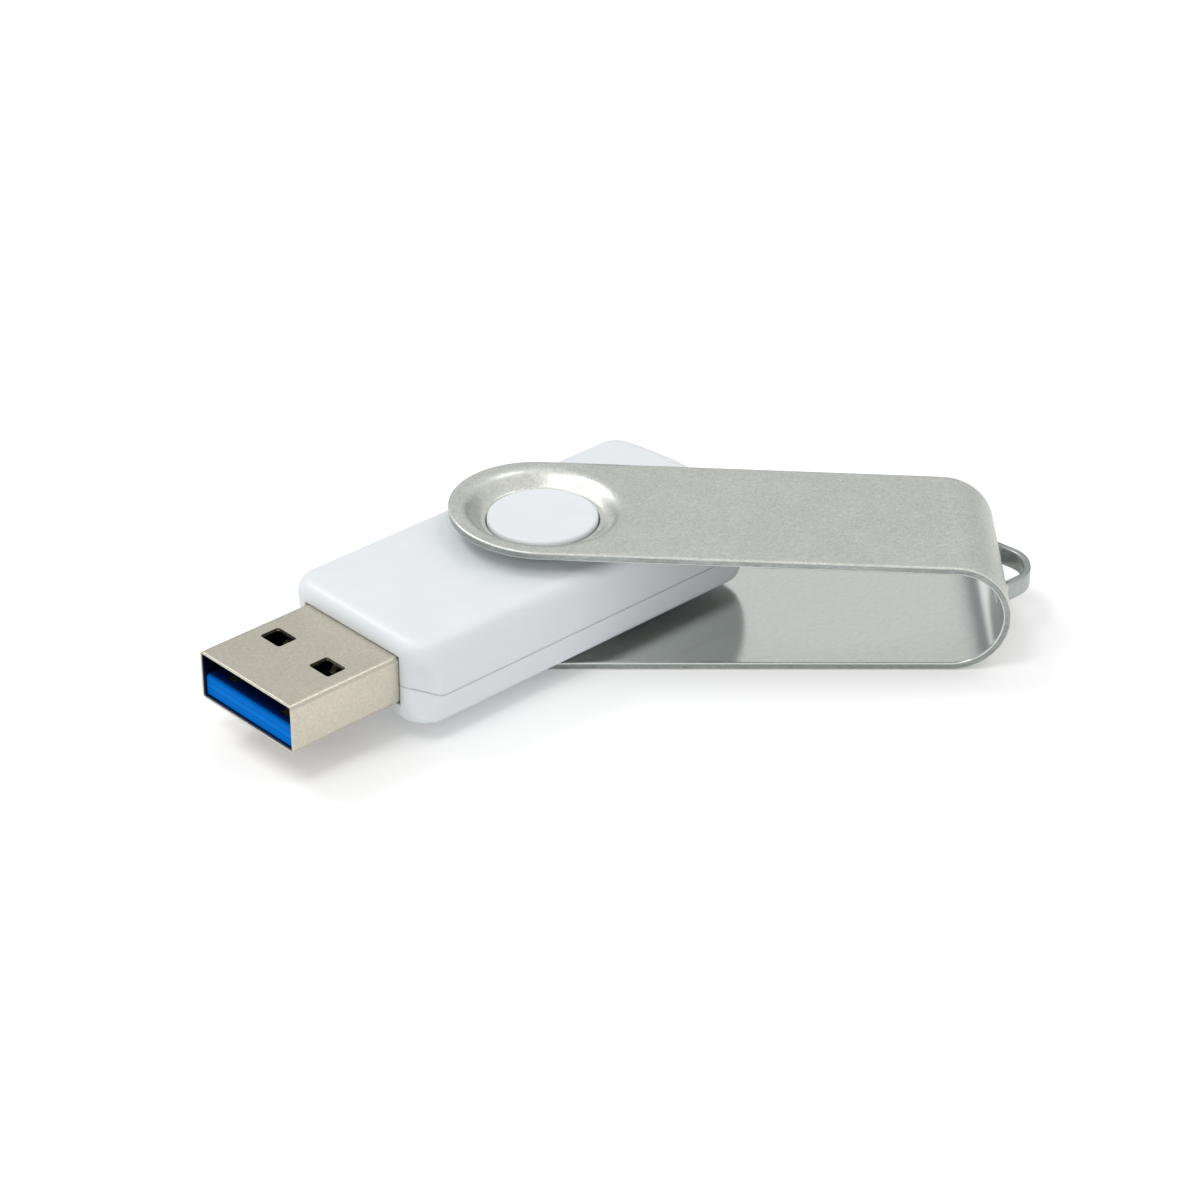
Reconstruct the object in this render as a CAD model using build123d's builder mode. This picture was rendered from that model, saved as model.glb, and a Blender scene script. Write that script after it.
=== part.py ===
from build123d import *
import os
from math import cos, radians, sin, sqrt, tan

# Swivel-clip USB flash drive: a two-part case with a USB-A plug, and a folded steel clip that turns
# about it.
#
# Frame: the origin is on the swivel axis, in the plane that the clip's lower arm rests on.
# +X runs out of the plug, +Z is up and is the swivel axis. All sizes are in millimetres.

# ---------------------------------------------------------------- driving sizes

# Swivel clip
clip_angle = 137.0          # rest position, counter-clockwise from the plug's direction
clip_sheet = 0.7            # sheet thickness
clip_width = 16.2
clip_reach = 39.7           # swivel axis to the outside of the bend
crown_gap = 0.6             # top face of the case to the outside of the bend's crown
clip_splay = 2.4            # the upper arm rises towards the hub by this angle
arm_gap = 1.1               # lower arm to the case

# Dished hub hole in each arm
dish_radius = 6.9           # where the arm starts to slope inwards
dish_floor_radius = 5.3     # where the slope ends in a flat rim
rim_clearance = 0.12        # flat rim to the face of the case
hub_clearance = 0.10        # radial, hub disc in its hole

# Lanyard loop, a strip pushed out of the bend
loop_height = 1.75
loop_sheet = 0.6
loop_stand = 2.4            # crest of the loop beyond the bend
loop_base_half = 3.95       # half width where the strip leaves the bend
loop_crest_half = 1.8
loop_corner = 3.0

# Case
case_width = 17.4
case_height = 7.6
case_front = 21.3           # swivel axis to the front face
case_rear = 18.2            # swivel axis to the crown of the rear face
case_rear_radius = 34.0     # plan radius of the crowned rear face
case_rear_bulge = 7.0       # side-view radius of the same face
case_rear_corner = 2.2
case_front_corner = 2.6
case_top_round = 1.25
case_bottom_round = 0.65
case_wall = 1.1
case_front_wall = 1.2
seam_drop = 1.25            # the seam lies this far under the middle of the plug
seam_front_rise = 0.9       # the seam climbs by this much round the front corners
seam_groove = 0.05

# Shallow dimple in each front corner
dimple_radius = 6.5
dimple_depth = 0.5          # under the crown of the rounded corner
dimple_rise = 3.3           # underside of the case to the middle of the dimple
dimple_round = 0.9

# Hub discs, one on each half of the case
hub_radius = 4.8
hub_top_height = 1.22
hub_bottom_height = 1.22
hub_round = 0.25

# USB-A plug
plug_width = 12.0
plug_height = 4.5
plug_sheet = 0.3
plug_corner = 0.5
plug_reach = 11.1           # front of the case to the tip
plug_length = 18.75
plug_clearance = 0.05       # plug in the case, and insulator in the plug
plug_seam_gap = 0.06        # butt joint along the underside of the shell
plug_lip_round = 0.08
window_start = 5.0          # tip to the window
window_length = 1.95
window_width = 2.5
window_spacing = 6.35       # between the middles of the two windows
window_corner = 0.25
shell_tab_length = 2.4
shell_tab_height = 2.6
shell_tab_drop = 0.45       # the tab ends this far under the board

# Insulator and contacts
tongue_recess = 0.3         # tip of the shell to the tongue
tongue_height = 1.9
tongue_nose = 0.25
tongue_depth = 8.8          # exposed length of the tongue
step_length = 1.2           # raised step that carries the deep row of contacts
step_height = 0.55
insulator_length = 15.6
retainer_length = 2.0
contact_sheet = 0.25
usb2_positions = (-3.5, -1.0, 1.0, 3.5)
usb2_width = 1.0
power_contact_setback = 0.85    # tongue front to the first and last contact
data_contact_setback = 1.85     # tongue front to the two middle contacts
superspeed_positions = (-4.0, -2.0, 0.0, 2.0, 4.0)
superspeed_width = 0.6
superspeed_rise = 0.35
contact_bend = 0.3
usb2_dive = 1.0             # root of the tongue to the bend down to the board
superspeed_dive = 3.0
superspeed_nose = 0.6       # spring end in front of the step
tail_landing = 1.5          # length of each tail on the board
solder_length = 0.4
solder_height = 0.22
shell_solder_radius = 0.75
shell_solder_top = 0.4
shell_solder_height = 0.5

# Circuit board
board_width = 14.2
board_thickness = 1.0
board_drop = 0.3            # top of the board under the middle of the plug
board_rear = 13.7           # swivel axis to the rear edge
board_gap = 0.1             # retainer to the board, and tab to its slot
board_corner = 0.8

# Case ribs and locating pins
rib_length = 3.0
rib_width = 1.0
rib_positions = (-9.5, 0.5, 9.3)
pin_radius = 0.45
pin_clearance = 0.05
pin_engagement = 1.0
socket_wall = 0.3
front_pin_x = 15.6
front_pin_inset = 0.6       # pin axis to the inner side wall
rear_pin_x = -15.05
rear_pin_y = 4.6

# Electronic parts
flash_body = (18.4, 12.0, 1.0)
flash_centre_x = -2.0
flash_span = 20.0           # over the leads
flash_leads_per_side = 24
flash_pitch = 0.5
lead_width = 0.22
lead_sheet = 0.13
lead_foot = 0.45
lead_shoulder = 0.15
lead_bend = 0.12
chip_standoff = 0.1
controller_size = 7.0
controller_height = 0.8
controller_centre = (6.3, 0.0)
controller_pads_per_side = 12
controller_pitch = 0.5
controller_pad = (0.45, 0.25)
controller_pad_overhang = 0.1
crystal_size = (3.2, 2.5)
crystal_base_height = 0.55
crystal_lid_height = 0.2
crystal_lid_inset = 0.2
crystal_centre = (0.2, 3.6)
regulator_size = (2.9, 1.6, 1.0)
regulator_centre = (-0.6, -3.9)
regulator_lead_reach = 0.6
regulator_lead_width = 0.4
regulator_lead_pitch = 0.95
regulator_lead_sheet = 0.15
inductor_size = (2.5, 2.0, 1.0)
inductor_centre = (-4.9, 0.0)
chip_part_size = (1.6, 0.8, 0.8)
resistor_height = 0.45
terminal_length = 0.3
capacitors_top = ((10.2, -5.0), (10.2, -2.5), (10.2, 0.0), (10.2, 2.5), (10.2, 5.0))
capacitors_bottom = ((-8.4, -4.4), (-8.4, -1.5), (-8.4, 1.5), (-8.4, 4.4))
resistors_bottom = (
    (-11.4, -4.4), (-11.4, -1.5), (-11.4, 1.5), (-11.4, 4.4), (-4.9, 4.4), (-4.9, -4.4),
)
led_size = (0.8, 1.6)
led_base_height = 0.3
led_lens_height = 0.4
led_setback = 0.8           # rear edge of the board to the middle of the lamp

# Tool bodies that cut right through reach this far past the surface.
overshoot = 1.0

# ---------------------------------------------------------------- derived places

case_half = case_width / 2
case_bottom_z = clip_sheet + arm_gap
case_top_z = case_bottom_z + case_height
clip_bend_radius = (case_top_z + crown_gap) / 2     # outside of the bend, a half circle
plug_z = (case_bottom_z + case_top_z) / 2
seam_z = plug_z - seam_drop
cavity_bottom_z = case_bottom_z + case_wall
cavity_top_z = case_top_z - case_wall
cavity_half = case_half - case_wall
rear_centre_x = case_rear_radius - case_rear

plug_tip_x = case_front + plug_reach
plug_rear_x = plug_tip_x - plug_length
plug_floor_z = plug_z - plug_height / 2 + plug_sheet
plug_inner_width = plug_width - 2 * plug_sheet
plug_inner_height = plug_height - 2 * plug_sheet
insulator_width = plug_inner_width - 2 * plug_clearance
insulator_floor_z = plug_floor_z + plug_clearance
tongue_front_x = plug_tip_x - tongue_recess
tongue_top_z = plug_floor_z + tongue_height
tongue_root_x = tongue_front_x - tongue_depth
insulator_rear_x = tongue_front_x - insulator_length
retainer_rear_x = insulator_rear_x - retainer_length
insulator_top_z = plug_floor_z + plug_inner_height - plug_clearance

board_top_z = plug_z - board_drop
board_bottom_z = board_top_z - board_thickness
board_front_x = retainer_rear_x - board_gap
front_pin_y = cavity_half - front_pin_inset

clip_centre_x = clip_reach - clip_bend_radius
clip_hub_z = clip_bend_radius * (1 + cos(radians(clip_splay))) \
    + (clip_centre_x + clip_bend_radius * sin(radians(clip_splay))) * tan(radians(clip_splay))
clip_end = clip_width / 2
hub_hole_radius = hub_radius + hub_clearance

# Alignment of a block that stands on its place, and of one that hangs from it.
on_top = (Align.CENTER, Align.CENTER, Align.MIN)
underneath = (Align.CENTER, Align.CENTER, Align.MAX)

# The clip has its own frame: X along the arms, Z up, turned to the rest position.
clip_plan = Plane.XY.rotated((0, 0, clip_angle))
clip_side = Plane(origin=(0, 0, 0), x_dir=clip_plan.x_dir, z_dir=clip_plan.x_dir.cross(clip_plan.z_dir))


def upper_arm_plane(height):
    """Plane parallel to the upper arm, at this height on the swivel axis."""
    tilt = radians(clip_splay)
    along = clip_plan.x_dir * cos(tilt) - clip_plan.z_dir * sin(tilt)
    upwards = clip_plan.z_dir * cos(tilt) + clip_plan.x_dir * sin(tilt)
    return Plane(origin=(0, 0, height), x_dir=along, z_dir=upwards)


# ---------------------------------------------------------------- swivel clip

with BuildPart() as swivel_clip:
    # Side view: two arms joined by the bend.
    turn_end = 90 - clip_splay
    bend_centre = (clip_centre_x, clip_bend_radius)
    bend_inside = clip_bend_radius - clip_sheet
    blank_end = clip_end + overshoot
    end_rise = blank_end * tan(radians(clip_splay))
    arm_drop = clip_sheet / cos(radians(clip_splay))
    with BuildSketch(clip_side):
        with BuildLine():
            outer_floor = Line((-blank_end, 0), (clip_centre_x, 0))
            outer_bend = CenterArc(bend_centre, clip_bend_radius, -90, 90 + turn_end)
            outer_roof = Line(outer_bend @ 1, (-blank_end, clip_hub_z + end_rise))
            inner_floor = Line((-blank_end, clip_sheet), (clip_centre_x, clip_sheet))
            inner_bend = CenterArc(bend_centre, bend_inside, -90, 90 + turn_end)
            inner_roof = Line(inner_bend @ 1, (-blank_end, clip_hub_z + end_rise - arm_drop))
            Line(outer_floor @ 0, inner_floor @ 0)
            Line(outer_roof @ 1, inner_roof @ 1)
        make_face()
    extrude(amount=clip_width, both=True)
    # Plan view: straight sides and a round end about the swivel axis.
    with BuildSketch(clip_plan):
        Circle(clip_end)
        Rectangle(clip_reach + overshoot, clip_width, align=(Align.MIN, Align.CENTER))
    extrude(amount=clip_hub_z + end_rise, mode=Mode.INTERSECT)
    # Lower dish, pushed up towards the case.
    lower_rim_z = case_bottom_z - rim_clearance
    with BuildSketch(clip_plan.offset(clip_sheet)):
        Circle(dish_radius)
    with BuildSketch(clip_plan.offset(lower_rim_z)):
        Circle(dish_floor_radius)
    loft(ruled=True)
    with BuildSketch(clip_plan):
        Circle(dish_radius)
    with BuildSketch(clip_plan.offset(lower_rim_z - clip_sheet)):
        Circle(dish_floor_radius)
    loft(ruled=True, mode=Mode.SUBTRACT)
    # Upper dish, pushed down towards the case: its rim is level, its shoulder follows the arm.
    upper_rim_z = case_top_z + rim_clearance
    with BuildSketch(upper_arm_plane(clip_hub_z - arm_drop)):
        Circle(dish_radius)
    with BuildSketch(clip_plan.offset(upper_rim_z)):
        Circle(dish_floor_radius)
    loft(ruled=True)
    with BuildSketch(upper_arm_plane(clip_hub_z)):
        Circle(dish_radius)
    with BuildSketch(clip_plan.offset(upper_rim_z + clip_sheet)):
        Circle(dish_floor_radius)
    loft(ruled=True, mode=Mode.SUBTRACT)
    # Hub holes through both rims.
    with BuildSketch(clip_plan):
        Circle(hub_hole_radius)
    extrude(amount=clip_hub_z, mode=Mode.SUBTRACT)

    # Lanyard loop: a window in the bend, and the strip that came out of it.
    loop_bottom_z = clip_bend_radius - loop_height / 2
    loop_crest_x = clip_reach + loop_stand
    loop_root_x = clip_reach - clip_sheet
    with BuildSketch(clip_plan.offset(loop_bottom_z)):
        with Locations((clip_reach, 0)):
            Rectangle(4 * clip_sheet, 2 * (loop_base_half - loop_sheet))
    extrude(amount=loop_height, mode=Mode.SUBTRACT)
    with BuildSketch(clip_plan.offset(loop_bottom_z)):
        with BuildLine():
            strip = FilletPolyline(
                (loop_root_x - loop_corner, -loop_base_half),
                (loop_root_x, -loop_base_half),
                (loop_crest_x, -loop_crest_half),
                (loop_crest_x, loop_crest_half),
                (loop_root_x, loop_base_half),
                (loop_root_x - loop_corner, loop_base_half),
                radius=loop_corner,
            )
            Line(strip @ 0, strip @ 1)
        make_face()
        offset(amount=-loop_sheet, mode=Mode.SUBTRACT)
        with Locations((clip_reach - clip_sheet / 2, 0)):
            Rectangle(clip_reach, clip_width, align=(Align.MAX, Align.CENTER), mode=Mode.SUBTRACT)
    extrude(amount=loop_height)
swivel_clip.part.label = "swivel_clip"

# ---------------------------------------------------------------- case

corner_x = case_front - case_front_corner
corner_y = case_half - case_front_corner
dimple_offset = (case_front_corner - dimple_depth + dimple_radius) * cos(radians(45))
dimple_z = case_bottom_z + dimple_rise
dimple_places = [(corner_x + dimple_offset, side * (corner_y + dimple_offset), dimple_z) for side in (-1, 1)]
rear_edge_x = case_rear_bulge - case_rear - sqrt(case_rear_bulge**2 - (case_height / 2) ** 2)


def case_body(inset):
    """The case with sharp top and bottom edges, its walls moved inwards by inset."""
    crown_x = inset - case_rear
    edge_x = inset + rear_edge_x
    with BuildPart() as body:
        with BuildSketch(Plane.XY.offset(case_bottom_z)):
            with Locations((case_front - inset, 0)):
                Rectangle(case_front + case_rear, case_width - 2 * inset, align=(Align.MAX, Align.CENTER))
        extrude(amount=case_height)
        fillet(body.edges().filter_by(Axis.Z).group_by(Axis.X)[-1], case_front_corner - inset)
        # The rear face is the rim of a barrel-edged disc.
        with BuildSketch(Plane.XZ):
            with BuildLine():
                rim = ThreePointArc((edge_x, case_bottom_z), (crown_x, plug_z), (edge_x, case_top_z))
                Polyline(rim @ 1, (rear_centre_x, case_top_z), (rear_centre_x, case_bottom_z), rim @ 0)
            make_face()
        revolve(axis=Axis((rear_centre_x, 0, 0), (0, 0, 1)), mode=Mode.INTERSECT)
        fillet(body.edges().group_by(Axis.Z)[1].sort_by(Axis.X)[:2], case_rear_corner - inset)
        with Locations(*dimple_places):
            Sphere(dimple_radius + inset, mode=Mode.SUBTRACT)
    return body.part


def under_seam(lift):
    """Everything under the parting surface of the case, which is raised by lift."""
    with BuildPart() as block:
        with BuildSketch(Plane.XZ):
            with BuildLine():
                Polyline(
                    (-case_rear - overshoot, seam_z + lift),
                    (corner_x, seam_z + lift),
                    (case_front, seam_z + seam_front_rise + lift),
                    (case_front + overshoot, seam_z + seam_front_rise + lift),
                    (case_front + overshoot, 0),
                    (-case_rear - overshoot, 0),
                    close=True,
                )
            make_face()
        extrude(amount=case_half + overshoot, both=True)
    return block.part


def bounds_dimple(edge):
    """True for an edge that lies on the ball of a dimple."""
    reaches = [(edge @ 0.5 - Vector(*place)).length for place in dimple_places]
    return min(abs(reach - dimple_radius) for reach in reaches) < dimple_round / 10


sharp_case = case_body(0)
inset_case = case_body(seam_groove)
below_seam = under_seam(0)
groove_roof = under_seam(seam_groove / 2)
groove_floor = under_seam(-seam_groove / 2)

with BuildPart() as seam_line:
    # Shadow line round the seam.
    add(groove_roof)
    add(groove_floor, mode=Mode.SUBTRACT)
    add(inset_case, mode=Mode.SUBTRACT)

with BuildPart() as case_block:
    add(sharp_case)
    fillet(case_block.edges().filter_by(bounds_dimple), dimple_round)
    fillet(case_block.edges().group_by(Axis.Z)[-1], case_top_round)
    fillet(case_block.edges().group_by(Axis.Z)[0], case_bottom_round)
    add(seam_line.part, mode=Mode.SUBTRACT)

# The chamfered inner corner leaves a full wall behind the dimple.
cavity_corner = sqrt(2) * (case_wall + dimple_depth) + (2 - sqrt(2)) * case_front_corner \
    - case_wall - case_front_wall
cavity_rear_radius = case_rear_radius - case_wall
cavity_rear_x = rear_centre_x - sqrt(cavity_rear_radius**2 - cavity_half**2)
cavity_crown_x = rear_centre_x - cavity_rear_radius
cavity_front_x = case_front - case_front_wall

with BuildPart() as case_cavity:
    with BuildSketch(Plane.XY.offset(cavity_bottom_z)) as cavity_plan:
        with BuildLine():
            cavity_front = Line((cavity_front_x, -cavity_half), (cavity_front_x, cavity_half))
            Line(cavity_front @ 1, (cavity_rear_x, cavity_half))
            ThreePointArc((cavity_rear_x, cavity_half), (cavity_crown_x, 0), (cavity_rear_x, -cavity_half))
            Line((cavity_rear_x, -cavity_half), cavity_front @ 0)
        make_face()
        chamfer(cavity_plan.vertices().group_by(Axis.X)[-1], cavity_corner)
        fillet(cavity_plan.vertices().group_by(Axis.X)[0], case_rear_corner - case_wall)
    extrude(amount=cavity_top_z - cavity_bottom_z)
    # Passage for the plug, through the front wall and the thick corners behind it.
    passage_length = 2 * (case_front_wall + cavity_corner)
    with Locations((case_front, 0, plug_z)):
        Box(passage_length, plug_width + 2 * plug_clearance, plug_height + 2 * plug_clearance)

pin_corners = ((front_pin_x, front_pin_y), (rear_pin_x, rear_pin_y))
pin_places = [(x, side * y) for x, y in pin_corners for side in (-1, 1)]
rib_places = [(x, side * (cavity_half - rib_width / 2)) for x in rib_positions for side in (-1, 1)]

with BuildPart() as upper_case:
    add(case_block.part)
    add(below_seam, mode=Mode.SUBTRACT)
    add(case_cavity.part, mode=Mode.SUBTRACT)
    # Ribs that hold the board down.
    with Locations(*[(x, y, cavity_top_z) for x, y in rib_places]):
        Box(rib_length, rib_width, cavity_top_z - board_top_z, align=underneath)
    # Locating pins, which enter the sockets of the lower half.
    with Locations(*[(x, y, cavity_top_z) for x, y in pin_places]):
        Cylinder(pin_radius, cavity_top_z - seam_z + pin_engagement, align=underneath)
    with Locations((0, 0, case_top_z)):
        Cylinder(hub_radius, hub_top_height, align=on_top)
    fillet(upper_case.edges().group_by(Axis.Z)[-1], hub_round)
upper_case.part.label = "upper_case"

with BuildPart() as lower_case:
    add(case_block.part)
    add(below_seam, mode=Mode.INTERSECT)
    add(case_cavity.part, mode=Mode.SUBTRACT)
    # Ribs that carry the board.
    with Locations(*[(x, y, cavity_bottom_z) for x, y in rib_places]):
        Box(rib_length, rib_width, board_bottom_z - cavity_bottom_z, align=on_top)
    with Locations(*[(x, y, cavity_bottom_z) for x, y in pin_places]):
        Cylinder(
            pin_radius + pin_clearance + socket_wall,
            seam_z - cavity_bottom_z,
            align=on_top,
        )
    with Locations(*[(x, y, seam_z) for x, y in pin_places]):
        Cylinder(
            pin_radius + pin_clearance,
            pin_engagement + pin_clearance,
            align=underneath,
            mode=Mode.SUBTRACT,
        )
    with Locations((0, 0, case_bottom_z)):
        Cylinder(hub_radius, hub_bottom_height, align=underneath)
    fillet(lower_case.edges().group_by(Axis.Z)[0], hub_round)
lower_case.part.label = "lower_case"

# ---------------------------------------------------------------- plug

plug_section = Plane(origin=(plug_rear_x, 0, plug_z), x_dir=(0, 1, 0), z_dir=(1, 0, 0))

with BuildPart() as plug_shell:
    with BuildSketch(plug_section):
        RectangleRounded(plug_width, plug_height, plug_corner)
        RectangleRounded(plug_inner_width, plug_inner_height, plug_corner - plug_sheet, mode=Mode.SUBTRACT)
        with Locations((0, -plug_height / 2)):
            Rectangle(plug_seam_gap, 3 * plug_sheet, mode=Mode.SUBTRACT)
    extrude(amount=plug_length)
    # Latch windows, two in the top and two in the underside.
    with BuildSketch(Plane.XY.offset(plug_z)):
        with Locations((plug_tip_x - window_start - window_length / 2, 0)):
            with GridLocations(1, window_spacing, 1, 2):
                RectangleRounded(window_length, window_width, window_corner)
    extrude(amount=plug_height, both=True, mode=Mode.SUBTRACT)
    fillet(plug_shell.faces().sort_by(Axis.X)[-1].edges(), plug_lip_round)
    # Tabs that are soldered into the slots of the board.
    tab_top_z = board_bottom_z - shell_tab_drop + shell_tab_height
    with Locations(*[(plug_rear_x, side * (plug_width - plug_sheet) / 2, tab_top_z) for side in (-1, 1)]):
        Box(2 * shell_tab_length, plug_sheet, shell_tab_height, align=underneath)
plug_shell.part.label = "plug_shell"

length_section = Plane(origin=(0, 0, 0), x_dir=(1, 0, 0), z_dir=(0, -1, 0))
step_front_x = tongue_root_x + step_length
step_top_z = tongue_top_z + step_height
tail_end_x = board_front_x - tail_landing


def contact_strip(path, y, width):
    """Strip of contact sheet that follows a path of (x, z) points, centred on y."""
    with BuildPart() as strip:
        with BuildSketch(Plane(origin=(0, y, 0), x_dir=(1, 0, 0), z_dir=(0, -1, 0))):
            with BuildLine():
                FilletPolyline(*path, radius=contact_bend)
            trace(line_width=contact_sheet)
        extrude(amount=width / 2, both=True)
    return strip.part


def usb2_route(place):
    """Path of a contact that lies in the face of the tongue; the outer two reach further forward."""
    face_z = tongue_top_z - contact_sheet / 2
    tail_z = board_bottom_z - contact_sheet / 2
    dive_x = tongue_root_x - usb2_dive
    outer_pair = abs(place) == max(usb2_positions)
    setback = power_contact_setback if outer_pair else data_contact_setback
    return [
        (tongue_front_x - setback, face_z),
        (dive_x, face_z),
        (dive_x - face_z + tail_z, tail_z),
        (tail_end_x, tail_z),
    ]


def superspeed_route():
    """Path of a sprung contact on the step at the root of the tongue."""
    face_z = step_top_z + contact_sheet / 2
    tail_z = board_top_z + contact_sheet / 2
    dive_x = tongue_root_x - superspeed_dive
    return [
        (step_front_x + superspeed_nose, face_z - contact_sheet / 2),
        (step_front_x, face_z + superspeed_rise),
        (tongue_root_x + contact_bend, face_z),
        (dive_x, face_z),
        (dive_x - face_z + tail_z, tail_z),
        (tail_end_x, tail_z),
    ]


usb2_strips = [contact_strip(usb2_route(y), y, usb2_width) for y in usb2_positions]
superspeed_strips = [contact_strip(superspeed_route(), y, superspeed_width) for y in superspeed_positions]

with BuildPart() as usb2_contacts:
    add(usb2_strips)
usb2_contacts.part.label = "usb2_contacts"

with BuildPart() as superspeed_contacts:
    add(superspeed_strips)
superspeed_contacts.part.label = "superspeed_contacts"

with BuildPart() as plug_insulator:
    with BuildSketch(length_section):
        with BuildLine():
            Polyline(
                (insulator_rear_x, insulator_floor_z),
                (tongue_front_x, insulator_floor_z),
                (tongue_front_x, tongue_top_z - tongue_nose),
                (tongue_front_x - tongue_nose, tongue_top_z),
                (step_front_x, tongue_top_z),
                (step_front_x, step_top_z),
                (tongue_root_x, step_top_z),
                (tongue_root_x, insulator_top_z),
                (insulator_rear_x, insulator_top_z),
                close=True,
            )
        make_face()
    extrude(amount=insulator_width / 2, both=True)
    add(usb2_contacts.part, mode=Mode.SUBTRACT)
    add(superspeed_contacts.part, mode=Mode.SUBTRACT)
plug_insulator.part.label = "plug_insulator"

with BuildPart() as contact_retainer:
    with BuildSketch(length_section):
        with Locations((insulator_rear_x, insulator_floor_z)):
            Rectangle(retainer_length, insulator_top_z - insulator_floor_z, align=(Align.MAX, Align.MIN))
    extrude(amount=insulator_width / 2, both=True)
    add(usb2_contacts.part, mode=Mode.SUBTRACT)
    add(superspeed_contacts.part, mode=Mode.SUBTRACT)
contact_retainer.part.label = "contact_retainer"

# ---------------------------------------------------------------- circuit board

tab_places = [side * (plug_width - plug_sheet) / 2 for side in (-1, 1)]
board_shoulder_x = plug_rear_x - board_gap

with BuildPart() as circuit_board:
    with BuildSketch(Plane.XY.offset(board_bottom_z)) as board_plan:
        with Locations((board_shoulder_x, 0)):
            Rectangle(board_shoulder_x + board_rear, board_width, align=(Align.MAX, Align.CENTER))
        chamfer(board_plan.vertices().group_by(Axis.X)[0], board_corner)
        # The nose of the board enters the back of the plug shell, up to the retainer.
        with Locations((board_front_x, 0)):
            nose_length = 2 * (board_front_x - board_shoulder_x)
            Rectangle(nose_length, insulator_width, align=(Align.MAX, Align.CENTER))
        # Open slots for the tabs of the plug shell.
        with Locations(*[(board_front_x, y) for y in tab_places]):
            slot_length = board_front_x - plug_rear_x + shell_tab_length + board_gap
            slot_width = plug_sheet + 2 * board_gap
            Rectangle(slot_length, slot_width, align=(Align.MAX, Align.CENTER), mode=Mode.SUBTRACT)
    extrude(amount=board_thickness)
circuit_board.part.label = "circuit_board"

with BuildPart() as shell_solder:
    with Locations(*[(plug_rear_x - shell_tab_length / 2, y, board_top_z) for y in tab_places]):
        Cone(
            shell_solder_radius,
            shell_solder_top,
            shell_solder_height,
            align=on_top,
        )
    add(plug_shell.part, mode=Mode.SUBTRACT)
shell_solder.part.label = "shell_solder"

with BuildPart() as contact_solder:
    for positions, width, face_z, up in (
        (usb2_positions, usb2_width, board_bottom_z, -1),
        (superspeed_positions, superspeed_width, board_top_z, 1),
    ):
        for place in positions:
            with BuildSketch(Plane(origin=(0, place, 0), x_dir=(1, 0, 0), z_dir=(0, -1, 0))):
                with BuildLine():
                    Polyline(
                        (tail_end_x, face_z),
                        (tail_end_x - solder_length, face_z),
                        (tail_end_x, face_z + up * solder_height),
                        close=True,
                    )
                make_face()
            extrude(amount=width / 2, both=True)
contact_solder.part.label = "contact_solder"

# ---------------------------------------------------------------- electronic parts

with BuildPart() as flash_chip:
    with Locations((flash_centre_x, 0, board_top_z + chip_standoff)):
        Box(*flash_body, align=on_top)
    chamfer(flash_chip.edges().group_by(Axis.Z)[-1], chip_standoff)
flash_chip.part.label = "flash_chip"

lead_root_x = flash_centre_x + flash_body[0] / 2
lead_tip_x = flash_centre_x + flash_span / 2
shoulder_z = board_top_z + chip_standoff + flash_body[2] / 2
foot_z = board_top_z + lead_sheet / 2

with BuildPart() as flash_lead:
    with BuildSketch(length_section):
        with BuildLine():
            FilletPolyline(
                (lead_root_x, shoulder_z),
                (lead_root_x + lead_shoulder + lead_sheet, shoulder_z),
                (lead_tip_x - lead_foot, foot_z),
                (lead_tip_x, foot_z),
                radius=lead_bend,
            )
        trace(line_width=lead_sheet)
    extrude(amount=lead_width / 2, both=True)

with BuildPart() as flash_leads:
    with GridLocations(1, flash_pitch, 1, flash_leads_per_side):
        add(flash_lead.part)
    mirror(about=Plane.YZ.offset(flash_centre_x))
flash_leads.part.label = "flash_leads"

with BuildPart() as controller_chip:
    with Locations((*controller_centre, board_bottom_z - chip_standoff)):
        Box(controller_size, controller_size, controller_height, align=underneath)
controller_chip.part.label = "controller_chip"

with BuildPart() as controller_pads:
    pad_reach = controller_size / 2 + controller_pad_overhang - controller_pad[0] / 2
    for quarter in range(4):
        pad_row = Plane(origin=(*controller_centre, board_bottom_z)).rotated((0, 0, 90 * quarter))
        with Locations(pad_row):
            with Locations((pad_reach, 0)):
                with GridLocations(1, controller_pitch, 1, controller_pads_per_side):
                    Box(*controller_pad, chip_standoff, align=underneath)
controller_pads.part.label = "controller_pads"

with BuildPart() as crystal_base:
    with Locations((*crystal_centre, board_bottom_z)):
        Box(*crystal_size, crystal_base_height, align=underneath)
crystal_base.part.label = "crystal_base"

with BuildPart() as crystal_lid:
    with Locations((*crystal_centre, board_bottom_z - crystal_base_height)):
        Box(*[side - 2 * crystal_lid_inset for side in crystal_size], crystal_lid_height, align=underneath)
crystal_lid.part.label = "crystal_lid"

with BuildPart() as regulator_body:
    with Locations((*regulator_centre, board_bottom_z - chip_standoff)):
        Box(*regulator_size, align=underneath)
regulator_body.part.label = "regulator_body"

with BuildPart() as regulator_leads:
    # Three leads on one long side and two on the other.
    row_y = regulator_size[1] / 2
    foot_y = row_y + regulator_lead_reach / 2
    stem_y = row_y + regulator_lead_sheet / 2
    stem_height = regulator_size[2] / 2 + chip_standoff
    lead_steps = [(-1, -1), (0, -1), (1, -1), (-1, 1), (1, 1)]
    with Locations((*regulator_centre, board_bottom_z)):
        with Locations(*[(step * regulator_lead_pitch, side * foot_y) for step, side in lead_steps]):
            Box(regulator_lead_width, regulator_lead_reach, regulator_lead_sheet, align=underneath)
        with Locations(*[(step * regulator_lead_pitch, side * stem_y) for step, side in lead_steps]):
            Box(regulator_lead_width, regulator_lead_sheet, stem_height, align=underneath)
regulator_leads.part.label = "regulator_leads"


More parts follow.
